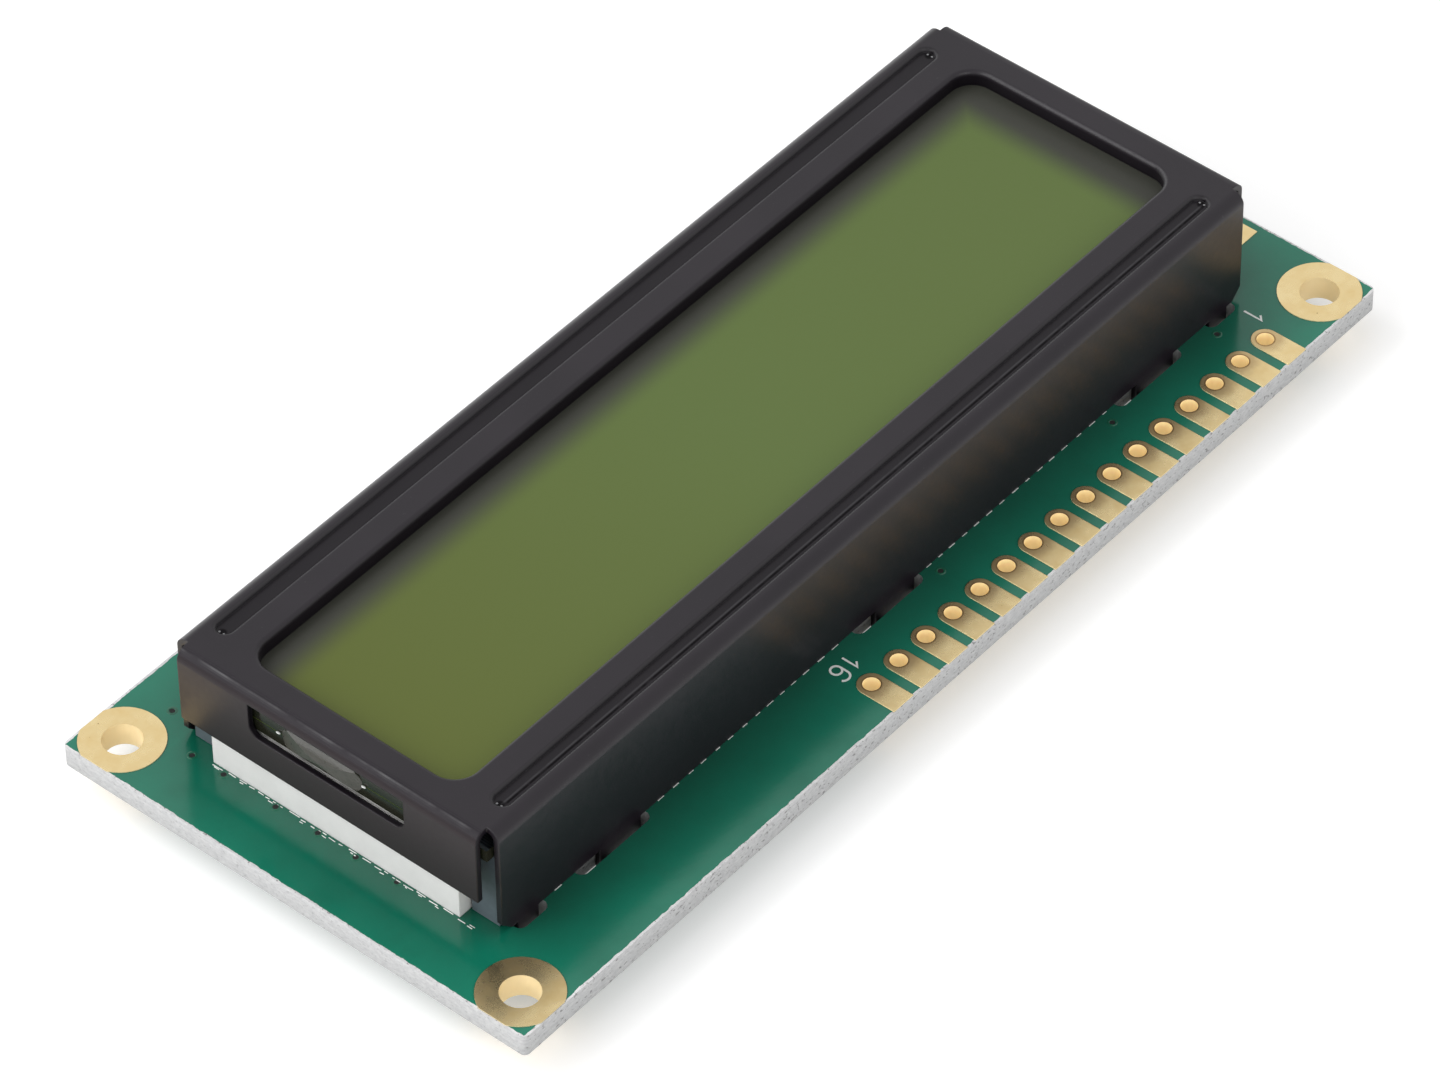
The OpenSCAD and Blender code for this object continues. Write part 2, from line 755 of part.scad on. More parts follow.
// The two metal ends of one chip component
module terminals(t) {
  for (side = [-1, 1]) translate([0, side * (chip_part_len - terminal_len) / 2])
    plate([chip_part_w, terminal_len], t);
}

module chip_terminals() {
  color("silver") on_back() {
    for (x = resistor_x) translate([x, chip_part_y, copper_t]) terminals(resistor_t);
    for (x = capacitor_x) translate([x, chip_part_y, copper_t]) terminals(capacitor_t);
  }
}

module fillet() {
  translate([-chip_part_w / 2, chip_part_len / 2, 0]) rotate([90, 0, 90])
    linear_extrude(chip_part_w) polygon([[0, 0], [fillet_len, 0], [0, fillet_h]]);
}

module chip_solder() {
  color("silver") on_back() for (x = concat(resistor_x, capacitor_x), turn = [0, 180])
    translate([x, chip_part_y, copper_t]) rotate(turn) fillet();
}

circuit_board();
mounting_lands();
header_pads();
supply_pads();
contact_fingers();
bezel();
front_polarizer();
front_glass();
perimeter_seal();
port_plug();
rear_glass();
rear_polarizer();
contact_strip_upper();
contact_strip_lower();
diffusing_film();
diffuser_plate();
backlight_housing();
light_board();
light_chips();
backlight_pins();
pin_lands();
pin_solder();
controller_die();
controller_cap();
driver_die();
driver_cap();
chip_lands();
chip_resistors();
chip_capacitors();
chip_terminals();
chip_solder();
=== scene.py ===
import math
import random

import bmesh
import bpy
from mathutils import Matrix, Vector


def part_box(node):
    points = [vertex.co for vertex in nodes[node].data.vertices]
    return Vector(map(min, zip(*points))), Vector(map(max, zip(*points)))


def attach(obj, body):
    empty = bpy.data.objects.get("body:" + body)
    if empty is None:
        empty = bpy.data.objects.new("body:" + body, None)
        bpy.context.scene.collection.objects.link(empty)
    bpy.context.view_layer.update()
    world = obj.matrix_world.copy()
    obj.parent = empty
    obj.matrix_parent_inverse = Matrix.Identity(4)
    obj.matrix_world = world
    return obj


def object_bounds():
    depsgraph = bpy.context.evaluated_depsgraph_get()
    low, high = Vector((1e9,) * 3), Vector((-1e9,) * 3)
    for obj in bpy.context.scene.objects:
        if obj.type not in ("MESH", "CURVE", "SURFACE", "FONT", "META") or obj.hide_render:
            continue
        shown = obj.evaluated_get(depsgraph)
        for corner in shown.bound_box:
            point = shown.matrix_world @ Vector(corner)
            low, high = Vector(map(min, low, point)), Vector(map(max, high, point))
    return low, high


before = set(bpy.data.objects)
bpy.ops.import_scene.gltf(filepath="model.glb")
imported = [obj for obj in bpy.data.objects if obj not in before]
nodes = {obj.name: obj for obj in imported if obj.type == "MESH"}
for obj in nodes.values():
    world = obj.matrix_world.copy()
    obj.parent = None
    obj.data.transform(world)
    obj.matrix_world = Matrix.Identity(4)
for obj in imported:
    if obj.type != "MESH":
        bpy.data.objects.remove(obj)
cad_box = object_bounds()
MM = 0.001

# ---------------------------------------------------------------- places, from the frame's boxes

half_w, half_h, board_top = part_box("circuit_board")[1]
bezel_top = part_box("bezel")[1][2]
pads_lo, pads_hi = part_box("header_pads")
glass_lo, glass_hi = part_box("front_glass")
film_lo, film_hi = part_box("front_polarizer")
block_lo, block_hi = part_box("backlight_housing")
plug_lo, plug_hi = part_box("port_plug")

PIN_PITCH = 2.54 * MM
PAD_HALF = 0.9 * MM
pin_1_x = pads_lo[0] + PAD_HALF
pin_16_x = pads_hi[0] - PAD_HALF
pin_y = pads_lo[1] + PAD_HALF

# the bezel's tabs widen its own box, so its walls are placed from the glass inside them
WALL_OUT = 0.5 * MM
TAB_PITCH = 25.0 * MM
bezel_mid = [(glass_lo[k] + glass_hi[k]) / 2 for k in (0, 1)]
bezel_half = [(glass_hi[k] - glass_lo[k]) / 2 + WALL_OUT for k in (0, 1)]
header_wall_y = bezel_mid[1] + bezel_half[1]
far_wall_y = glass_lo[1] - WALL_OUT

# the front polarizer reaches this far under the window's lip
FILM_MARGIN = 1.0 * MM
window_mid = [(film_lo[k] + film_hi[k]) / 2 for k in (0, 1)]
window_half = [(film_hi[k] - film_lo[k]) / 2 - FILM_MARGIN for k in (0, 1)]

# ---------------------------------------------------------------- colours, linear

MASK_GREENS = (0.005, 0.170, 0.104), (0.007, 0.208, 0.128)
MASK_DEEP = (0.003, 0.105, 0.062)
# the next is painted shade for the mask beside the bezel's walls
MASK_PAINTED_SHADE = (0.001, 0.012, 0.006)
FIBRE_GREYS = (0.66, 0.66, 0.67), (0.86, 0.86, 0.86)
FIBRE_SPECK = (0.16, 0.15, 0.15)

GOLDS = (0.80, 0.645, 0.352), (0.73, 0.55, 0.265)
GOLD_PRICK = (0.16, 0.08, 0.03)
GOLD_STAIN = (0.42, 0.29, 0.15)
# the next two are painted: shade at the header holes' edges, and light on the walls of holes and other
# upright faces
GOLD_RIM_SHADE = (0.20, 0.10, 0.03)
GOLD_BARREL_LIGHT = (0.96, 0.80, 0.48)
BARREL_GLOW = (1.0, 0.80, 0.42, 1.0)

PAINTS = (0.0088, 0.0062, 0.0100), (0.0126, 0.0092, 0.0138)
PAINT_SPECK = (0.06, 0.06, 0.062)
PAINT_WORN = (0.055, 0.053, 0.056)
# the next six are painted light: shade, a lighter end-wall paint, rim and fold highlights, and the pits'
# glints
PAINT_SHADE = (0.0015, 0.0012, 0.0016)
PAINT_END_LIGHT = (0.026, 0.020, 0.022)
RIM_TO_HEADER_HIGHLIGHT = (0.030, 0.028, 0.031)
RIM_FROM_HEADER_HIGHLIGHT = (0.050, 0.049, 0.053)
PIT_GLINT = (0.30, 0.30, 0.31)
FOLD_HIGHLIGHT = (0.085, 0.083, 0.088)

# the next is painted shade: the dark seen through the glass's cut edges
GLASS_EDGE_SHADE = (0.013, 0.014, 0.008)
SEAL_EDGE = (0.05, 0.05, 0.03)
OLIVES = (0.098, 0.143, 0.037), (0.103, 0.151, 0.040)
OLIVE_YELLOW = (0.098, 0.121, 0.0225)
OLIVE_SHADED = (0.041, 0.042, 0.034)
CELL_OLIVES = (0.09, 0.13, 0.02), (0.10, 0.145, 0.022)
MIRROR_OLIVES = (0.13, 0.18, 0.03), (0.16, 0.21, 0.04)
MIRROR_EDGES = (0.16, 0.16, 0.15), (0.42, 0.42, 0.40)
SILICONE_BANDS = (0.030, 0.034, 0.040), (0.10, 0.125, 0.145)
SILICONE_HAZE = (0.06, 0.075, 0.09)


# ---------------------------------------------------------------- node helpers

class Net:
    """A short way to write one material's nodes."""

    def __init__(self, name):
        self.mat = bpy.data.materials.new(name)
        self.mat.use_nodes = True
        self.tree = self.mat.node_tree
        self.tree.nodes.clear()
        self.out = self.tree.nodes.new("ShaderNodeOutputMaterial")
        self.coord = self.tree.nodes.new("ShaderNodeTexCoord").outputs["Object"]
        self.place = None
        self.flat = None
        self.normal = None

    def node(self, kind, **inputs):
        made = self.tree.nodes.new(kind)
        for key, value in inputs.items():
            self.put(made.inputs[key.replace("_", " ")], value)
        return made

    def put(self, socket, value):
        if isinstance(value, bpy.types.NodeSocket):
            self.tree.links.new(value, socket)
        elif hasattr(socket.default_value, "__len__") and len(socket.default_value) == 4:
            socket.default_value = tuple(value) + (1.0,) * (4 - len(value))
        else:
            socket.default_value = value

    def math(self, op, a, b=0.0):
        made = self.tree.nodes.new("ShaderNodeMath")
        made.operation = op
        self.put(made.inputs[0], a)
        self.put(made.inputs[1], b)
        return made.outputs[0]

    def plus(self, a, b):
        return self.math("ADD", a, b)

    def minus(self, a, b):
        return self.math("SUBTRACT", a, b)

    def times(self, a, b):
        return self.math("MULTIPLY", a, b)

    def larger(self, a, b):
        return self.math("MAXIMUM", a, b)

    def away(self, a, centre):
        """How far a is from the centre, on either side."""
        return self.math("ABSOLUTE", self.minus(a, centre))

    def length(self, a, b):
        return self.math("SQRT", self.plus(self.times(a, a), self.times(b, b)))

    def dim(self, value, mask, share):
        """The value, less this share of it where the mask is 1."""
        return self.times(value, self.minus(1.0, self.times(mask, share)))

    def axis(self, name):
        """X, Y or Z of the point, in the object's own frame."""
        if self.place is None:
            self.place = self.node("ShaderNodeSeparateXYZ", Vector=self.coord)
        return self.place.outputs[name]

    def true_normal(self):
        if self.flat is None:
            self.flat = self.node("ShaderNodeNewGeometry").outputs["True Normal"]
        return self.flat

    def facing(self, name):
        """X, Y or Z of the face's own normal."""
        if self.normal is None:
            self.normal = self.node("ShaderNodeSeparateXYZ", Vector=self.true_normal())
        return self.normal.outputs[name]

    def side_mask(self):
        """1 on upright faces, 0 on flat ones."""
        return self.math("LESS_THAN", self.math("ABSOLUTE", self.facing("Z")), 0.5)

    def noise(self, size, detail=3.0, rough=0.55, stretch=None):
        """Noise whose features are about size metres across."""
        vec = self.coord
        if stretch:
            vec = self.node("ShaderNodeMapping", Vector=vec, Scale=stretch).outputs[0]
        made = self.node("ShaderNodeTexNoise", Vector=vec, Scale=1.0 / size, Detail=detail, Roughness=rough)
        return made.outputs["Fac"]

    def ramp(self, fac, low, high, a=0.0, b=1.0, smooth=False):
        """From a to b while fac goes from low to high, and flat past both ends."""
        made = self.node("ShaderNodeMapRange", Value=fac)
        made.clamp = True
        if smooth:
            made.interpolation_type = "SMOOTHSTEP"
        for key, value in (("From Min", low), ("From Max", high), ("To Min", a), ("To Max", b)):
            made.inputs[key].default_value = value
        return made.outputs[0]

    def band(self, fac, inner, outer, smooth=False):
        """1 up to inner, 0 from outer on."""
        return self.ramp(fac, inner, outer, 1.0, 0.0, smooth)

    def mix(self, fac, a, b):
        made = self.tree.nodes.new("ShaderNodeMix")
        made.data_type = "RGBA"
        self.put(made.inputs[0], fac)
        self.put(made.inputs[6], a)
        self.put(made.inputs[7], b)
        return made.outputs[2]

    def bevel(self, radius):
        made = self.node("ShaderNodeBevel")
        made.samples = 4
        made.inputs["Radius"].default_value = radius
        return made.outputs[0]

    def open_sky(self, distance):
        """1 where nothing stands within this distance, less in corners."""
        made = self.node("ShaderNodeAmbientOcclusion")
        made.samples = 8
        made.inputs["Distance"].default_value = distance
        return made.outputs["AO"]

    def bump(self, height, distance, strength=1.0, normal=None):
        made = self.node("ShaderNodeBump", Height=height)
        made.inputs["Distance"].default_value = distance
        made.inputs["Strength"].default_value = strength
        if normal is not None:
            self.put(made.inputs["Normal"], normal)
        return made.outputs[0]

    def surface(self, **inputs):
        made = self.node("ShaderNodeBsdfPrincipled", **inputs)
        self.tree.links.new(made.outputs[0], self.out.inputs[0])
        return made


# ---------------------------------------------------------------- materials

MASK_BACK = 0.12 * MM, 0.16 * MM
MASK_RAGGED = 0.22 * MM
BOARD_SHELTER = 7.0 * MM


def board_material():
    """Green solder mask on both faces, bare glass fibre at every edge."""
    n = Net("solder_mask")
    fine = n.noise(0.35 * MM, 4, 0.6)
    broad = n.noise(12 * MM, 3, 0.5)
    mottled = n.noise(2.2 * MM, 4, 0.6)
    green = n.mix(n.ramp(broad, 0.35, 0.65), *MASK_GREENS)
    green = n.mix(n.ramp(mottled, 0.45, 0.8, 0.0, 0.25), green, MASK_DEEP)
    # glass fibre: pale grey, with specks in rows along the weave that are weaker on the short edges
    weave = n.noise(0.5 * MM, 3, 0.7, stretch=(1.0, 1.0, 2.2))
    speck = n.ramp(n.noise(0.28 * MM, 2, 0.6, stretch=(1.0, 1.0, 1.6)), 0.60, 0.68)
    fibre = n.mix(n.ramp(weave, 0.35, 0.7), *FIBRE_GREYS)
    deep = n.ramp(n.math("ABSOLUTE", n.facing("X")), 0.4, 0.6, 0.75, 0.30)
    fibre = n.mix(n.times(speck, deep), fibre, FIBRE_SPECK)
    # the mask stops a little before the board's edge
    ragged = n.times(n.minus(n.noise(0.6 * MM, 3), 0.5), MASK_RAGGED)
    reach_x = n.minus(n.math("ABSOLUTE", n.axis("X")), half_w - MASK_BACK[0])
    reach_y = n.minus(n.math("ABSOLUTE", n.axis("Y")), half_h - MASK_BACK[1])
    rim = n.math("GREATER_THAN", n.plus(n.larger(reach_x, reach_y), ragged), 0.0)
    bare = n.larger(n.side_mask(), rim)
    colour = n.mix(bare, green, fibre)
    rough = n.plus(n.ramp(mottled, 0.3, 0.7, 0.13, 0.2), n.times(bare, 0.45))
    height = n.plus(n.times(fine, 0.25), mottled)
    height = n.plus(height, n.times(n.times(weave, bare), 2.0))
    # painted shade: the mask is darkened where the walls shelter it from the sky
    wall_shade = n.ramp(n.open_sky(BOARD_SHELTER), 0.5, 1.0, 0.55, 0.0)
    colour = n.mix(wall_shade, colour, MASK_PAINTED_SHADE)
    n.surface(Base_Color=colour, Roughness=rough, IOR=1.5, Normal=n.bump(height, 0.012 * MM, 0.6))
    return n.mat


PAD_RIM_SHADE = 0.58 * MM, 0.68 * MM
PAD_STAIN = 0.70 * MM, 1.5 * MM
STAIN_WANDER = 0.9 * MM
PAD_ROUNDING = 0.06 * MM
BARREL_DEEP, BARREL_HIGH = 0.35 * MM, 0.05 * MM


def gold_material(name="gold", header=False):
    """Thin gold over nickel: a soft mirror on the lands, and a paler, less metallic gold on upright faces and
    down inside the holes, which is painted light.
    The header's pads are stained brown round their holes, with painted shade at each hole's edge."""
    n = Net(name)
    cloud = n.noise(1.6 * MM, 4, 0.6)
    grain = n.noise(0.12 * MM, 3, 0.6)
    prick = n.ramp(n.noise(0.40 * MM, 1, 0.5), 0.79, 0.81)
    barrel = n.side_mask()
    colour = n.mix(n.ramp(cloud, 0.35, 0.7), *GOLDS)
    colour = n.mix(n.times(prick, 0.8), colour, GOLD_PRICK)
    if header:
        step = n.math("DIVIDE", n.minus(n.axis("X"), pin_1_x), PIN_PITCH)
        dx = n.times(n.minus(step, n.math("ROUND", step)), PIN_PITCH)
        reach = n.length(dx, n.minus(n.axis("Y"), pin_y))
        wander = n.times(n.minus(n.noise(1.1 * MM, 3, 0.6), 0.5), STAIN_WANDER)
        stain = n.ramp(n.plus(reach, wander), *PAD_STAIN, 0.62, 0.0, smooth=True)
        colour = n.mix(stain, colour, GOLD_STAIN)
        # painted shade: a dark ring at the edge of each hole
        colour = n.mix(n.ramp(reach, *PAD_RIM_SHADE, 0.8, 0.0), colour, GOLD_RIM_SHADE)
    # painted light: upright faces, the holes' walls among them, get a paler gold
    colour = n.mix(barrel, colour, GOLD_BARREL_LIGHT)
    rough = n.plus(n.ramp(cloud, 0.3, 0.75, 0.24, 0.34), n.times(barrel, 0.15))
    rounded = n.bevel(PAD_ROUNDING) if header else None
    made = n.surface(Base_Color=colour, Metallic=n.minus(1.0, n.times(barrel, 0.75)), Roughness=rough,
                     Normal=n.bump(grain, 0.004 * MM, 0.3, rounded))
    if header:
        # a weak glow stands in for the light that comes up through the holes
        made.inputs["Emission Color"].default_value = BARREL_GLOW
        glow = n.ramp(n.axis("Z"), board_top - BARREL_DEEP, board_top - BARREL_HIGH, 0.10, 0.26)
        glow = n.times(glow, n.ramp(n.noise(0.5 * MM, 2, 0.6), 0.35, 0.65, 0.7, 1.15))
        n.put(made.inputs["Emission Strength"], n.times(barrel, glow))
    return n.mat


# the sunk bead's middle line is BEAD_IN from the long wall's outside
# its round ends have their centres BEAD_END from the end wall's outside
BEAD_IN = 1.7 * MM
BEAD_END = 3.35 * MM
BEAD_FLOOR_SHADE = 0.62 * MM, 0.84 * MM
BEAD_ZONE = 0.85 * MM, 1.0 * MM
CREASE_OFF = 0.24 * MM
CREASE_SHADE_LINE = 0.05 * MM, 0.10 * MM
CREASE_END = 0.4 * MM
CREASE_HIGHLIGHT_OFF = 0.17 * MM
CREASE_HIGHLIGHT_LINE = 0.03 * MM, 0.08 * MM
PIT_AT = 0.30 * MM
PIT_SHADE = 0.20 * MM, 0.34 * MM
GLINT_AT = 0.36 * MM, 0.17 * MM
GLINT = 0.04 * MM, 0.09 * MM
FACE_BELOW = 0.45 * MM, 0.32 * MM
SKIN_INSIDE = 0.20 * MM, 0.08 * MM
END_INSIDE = 0.90 * MM, 0.80 * MM
PAINT_ROUNDING = 0.13 * MM
BEZEL_SHELTER = 2.5 * MM


def bezel_material():
    """Black satin paint on sheet steel, slightly thin on its edges, with painted shade in its hollows and
    painted highlights on some rims and folds.
    """
    n = Net("bezel_paint")
    peel = n.noise(0.45 * MM, 3, 0.5)
    dust = n.noise(0.09 * MM, 2, 0.6)
    cloud = n.noise(6 * MM, 3, 0.5)
    speck = n.ramp(n.noise(0.22 * MM, 1, 0.4), 0.76, 0.80)
    colour = n.mix(n.ramp(cloud, 0.3, 0.7), *PAINTS)
    colour = n.mix(n.times(speck, 0.25), colour, PAINT_SPECK)
    # worn edges: where the rounded normal leaves the face's own
    bevel = n.bevel(PAINT_ROUNDING)
    dot = n.node("ShaderNodeVectorMath")
    dot.operation = "DOT_PRODUCT"
    n.put(dot.inputs[0], bevel)
    n.put(dot.inputs[1], n.true_normal())
    edge = n.times(n.band(dot.outputs["Value"], 0.80, 0.99), n.ramp(n.noise(0.9 * MM, 4, 0.7), 0.38, 0.62))
    colour = n.mix(n.times(edge, 0.5), colour, PAINT_WORN)
    # painted shade: the beads' floors are darkened and less glossy; along the header side's bead runs a
    # painted crease, a shade line beside a highlight line, and at each bead end sits a painted pit, a shade
    # spot with two painted glints
    off_x = n.away(n.axis("X"), bezel_mid[0])
    off_y = n.away(n.axis("Y"), bezel_mid[1])
    past = n.minus(off_x, bezel_half[0] - BEAD_END)
    aside = n.minus(off_y, bezel_half[1] - BEAD_IN)
    reach = n.length(n.larger(past, 0.0), aside)
    # painted shade on the beads' floors
    floor = n.band(reach, *BEAD_FLOOR_SHADE, smooth=True)
    zone = n.band(reach, *BEAD_ZONE)
    header_side = n.math("GREATER_THAN", n.axis("Y"), bezel_mid[1])
    broken = n.times(n.ramp(n.noise(0.7 * MM, 3, 0.6), 0.30, 0.50, 0.45, 1.0), header_side)
    broken = n.times(broken, n.band(past, 0.0, CREASE_END))
    crease = n.minus(aside, CREASE_OFF)
    crease_shade = n.times(n.band(n.math("ABSOLUTE", crease), *CREASE_SHADE_LINE), broken)
    crease_highlight = n.times(n.band(n.math("ABSOLUTE", n.plus(crease, CREASE_HIGHLIGHT_OFF)), *CREASE_HIGHLIGHT_LINE), broken)
    pit_shade = n.band(n.length(n.minus(past, PIT_AT), aside), *PIT_SHADE)
    glint_aside = n.minus(n.math("ABSOLUTE", aside), GLINT_AT[1])
    glint = n.band(n.length(n.minus(past, GLINT_AT[0]), glint_aside), *GLINT)
    # painted shade: lips, gaps and beads below the face are darkened and less glossy where they see less of
    # the sky, and under the beads' painted marks; the face and the outer skin keep their colour
    face = n.ramp(n.axis("Z"), bezel_top - FACE_BELOW[0], bezel_top - FACE_BELOW[1])
    skin_x = n.ramp(off_x, bezel_half[0] - SKIN_INSIDE[0], bezel_half[0] - SKIN_INSIDE[1])
    skin_y = n.ramp(off_y, bezel_half[1] - SKIN_INSIDE[0], bezel_half[1] - SKIN_INSIDE[1])
    skin = n.larger(face, n.larger(skin_x, skin_y))
    lit = n.larger(n.ramp(n.open_sky(BEZEL_SHELTER), 0.45, 0.95, 0.42, 1.0), skin)
    for mask, share in ((floor, 0.38), (crease_shade, 0.75), (pit_shade, 0.7)):
        lit = n.dim(lit, mask, share)
    colour = n.mix(lit, PAINT_SHADE, colour)
    # painted highlights: rims that lean away from the header are painted paler and glossier, and those of the
    # beads that lean to it a little paler
    toward_highlight = n.times(n.ramp(n.facing("Y"), 0.10, 0.45), n.times(zone, face))
    back = n.times(n.facing("Y"), -1.0)
    away = n.times(n.times(n.ramp(back, 0.12, 0.45), n.band(back, 0.85, 0.95)), face)
    colour = n.mix(n.times(toward_highlight, 0.8), colour, RIM_TO_HEADER_HIGHLIGHT)
    colour = n.mix(n.times(n.larger(away, crease_highlight), 0.6), colour, RIM_FROM_HEADER_HIGHLIGHT)
    # painted glints at the pits
    colour = n.mix(glint, colour, PIT_GLINT)
    # painted light: the end walls get a lighter, redder paint, and they and the folds leaning to them are
    # less glossy; a painted highlight runs as a thin bright line along the fold at the +X end
    end = n.facing("X")
    outer_end = n.ramp(off_x, bezel_half[0] - END_INSIDE[0], bezel_half[0] - END_INSIDE[1])
    dulled = n.times(n.ramp(n.math("ABSOLUTE", end), 0.12, 0.35), outer_end)
    end_wall_light = n.times(n.ramp(n.math("ABSOLUTE", end), 0.7, 0.95), outer_end)
    colour = n.mix(end_wall_light, colour, PAINT_END_LIGHT)
    fold_highlight = n.band(n.away(end, 0.50), 0.04, 0.12)
    fold_highlight = n.times(fold_highlight, n.ramp(n.noise(4 * MM, 3, 0.6), 0.42, 0.62, 0.0, 0.9))
    colour = n.mix(n.times(fold_highlight, outer_end), colour, FOLD_HIGHLIGHT)
    level = n.dim(n.times(lit, n.plus(0.5, n.times(away, 0.45))), dulled, 0.55)
    rough = n.plus(n.ramp(peel, 0.3, 0.7, 0.29, 0.36), n.times(dust, 0.05))
    height = n.plus(peel, n.times(dust, 0.35))
    n.surface(Base_Color=colour, Roughness=rough, IOR=1.42, Specular_IOR_Level=level,
              Normal=n.bump(height, 0.008 * MM, 0.35, bevel))
    return n.mat


def glass_material():
    """The front glass: its flat faces let light straight through, and its cut edges are painted dark and
    glossy, painted shade standing in for the dark cell seen through them.
    """
    n = Net("cell_glass")
    streak = n.noise(4 * MM, 3, 0.6)
    chips = n.noise(0.4 * MM, 2, 0.5)
    through = n.node("ShaderNodeBsdfTransparent", Color=(1, 1, 1))
    rim = n.node("ShaderNodeBsdfPrincipled", Base_Color=GLASS_EDGE_SHADE, Specular_IOR_Level=0.28,
                 Roughness=n.ramp(streak, 0.3, 0.7, 0.10, 0.16), Normal=n.bump(chips, 0.004 * MM, 0.2))
    whole = n.node("ShaderNodeMixShader", Fac=n.side_mask())
    n.tree.links.new(through.outputs[0], whole.inputs[1])
    n.tree.links.new(rim.outputs[0], whole.inputs[2])
    n.tree.links.new(whole.outputs[0], n.out.inputs[0])
    return n.mat


# the shade starts SHADE_IN inside the window's edge and is full SHADE_FULL inside it
# at the -X lip it reaches SHADE_END_MORE further in
SHADE_IN, SHADE_FULL = 3.3 * MM, 0.8 * MM
SHADE_END_MORE = 0.6 * MM


def front_film_material():
    """The matt front polarizer with the olive cell seen through it: yellower towards the +X end, and grey
    beside the window's -X and -Y lips, where no light comes back from the cell."""
    n = Net("front_film")
    fine = n.noise(0.5 * MM, 2, 0.5)
    cloud = n.noise(30 * MM, 2, 0.5)
    olive = n.mix(n.ramp(cloud, 0.3, 0.7), *OLIVES)
    yellow = n.ramp(n.axis("X"), window_mid[0], window_mid[0] + window_half[0])
    olive = n.mix(yellow, olive, OLIVE_YELLOW)
    past_x = n.minus(window_mid[0] - window_half[0] + SHADE_END_MORE, n.axis("X"))
    past_y = n.minus(window_mid[1] - window_half[1], n.axis("Y"))
    shade = n.ramp(n.larger(past_x, past_y), -SHADE_IN, -SHADE_FULL, smooth=True)
    olive = n.mix(shade, olive, OLIVE_SHADED)
    side = n.side_mask()
    rough = n.minus(n.ramp(fine, 0.3, 0.7, 0.38, 0.46), n.times(side, 0.25))
    # the film's cut edges get the glass edges' painted shade
    n.surface(Base_Color=n.mix(side, olive, GLASS_EDGE_SHADE), Roughness=rough, Specular_IOR_Level=0.25,
              Normal=n.bump(fine, 0.001 * MM, 0.2))
    return n.mat


def cell_material(name, edge):
    """Olive liquid crystal seen from above, on a sheet whose cut edges take the given edge colour and are
    glossy; for the rear glass that colour is painted shade.
    """
    n = Net(name)
    cloud = n.noise(0.6 * MM, 2, 0.5)
    olive = n.mix(n.ramp(cloud, 0.3, 0.7), *CELL_OLIVES)
    side = n.side_mask()
    rough = n.minus(n.ramp(cloud, 0.3, 0.7, 0.50, 0.58), n.times(side, 0.40))
    n.surface(Base_Color=n.mix(side, olive, edge), Roughness=rough, Specular_IOR_Level=0.28,
              Normal=n.bump(cloud, 0.002 * MM, 0.2))
    return n.mat


def mirror_material():
    """The half-mirror behind the cell: brushed silver at its edge, olive where it faces the viewer."""
    n = Net("olive_film")
    grain = n.noise(0.05 * MM, 2, 0.6)
    olive = n.mix(n.ramp(grain, 0.3, 0.7), *MIRROR_OLIVES)
    worn = n.ramp(n.noise(1.2 * MM, 3, 0.6), 0.35, 0.65)
    colour = n.mix(n.side_mask(), olive, n.mix(worn, *MIRROR_EDGES))
    n.surface(Base_Color=colour, Roughness=n.ramp(grain, 0.3, 0.7, 0.42, 0.55),
              Normal=n.bump(grain, 0.003 * MM, 0.3))
    return n.mat


LAYER_PITCH = 0.18 * MM


def strip_material():
    """Grey silicone with fine black conducting layers across its length."""
    n = Net("elastomer")
    bands = n.math("ABSOLUTE", n.math("SINE", n.times(n.axis("X"), math.pi / LAYER_PITCH)))
    soft = n.noise(0.6 * MM, 3, 0.5)
    colour = n.mix(n.ramp(bands, 0.3, 0.6), *SILICONE_BANDS)
    colour = n.mix(n.ramp(soft, 0.3, 0.7, 0.0, 0.25), colour, SILICONE_HAZE)
    n.surface(Base_Color=colour, Roughness=n.ramp(soft, 0.3, 0.7, 0.35, 0.5),
              Normal=n.bump(soft, 0.02 * MM, 0.4))
    return n.mat


def plain_material(name, shades, size, rough, metallic=0.0, bump=0.01 * MM, strength=0.4, bevel=0.0,
                   subsurface=0.0):
    """Two close shades mixed by noise of this size, with grain in roughness and height."""
    n = Net(name)
    cloud = n.noise(size, 4, 0.6)
    grain = n.noise(size * 0.12, 3, 0.6)
    normal = n.bevel(bevel) if bevel else None
    height = n.plus(cloud, n.times(grain, 0.5))
    made = n.surface(Base_Color=n.mix(n.ramp(cloud, 0.35, 0.68), *shades),
                     Roughness=n.ramp(grain, 0.3, 0.7, *rough),
                     Normal=n.bump(height, bump, strength, normal))
    made.inputs["Metallic"].default_value = metallic
    if subsurface:
        made.inputs["Subsurface Weight"].default_value = subsurface
        made.inputs["Subsurface Radius"].default_value = (1.0, 1.0, 1.0)
        made.inputs["Subsurface Scale"].default_value = 0.6 * MM
    return n.mat


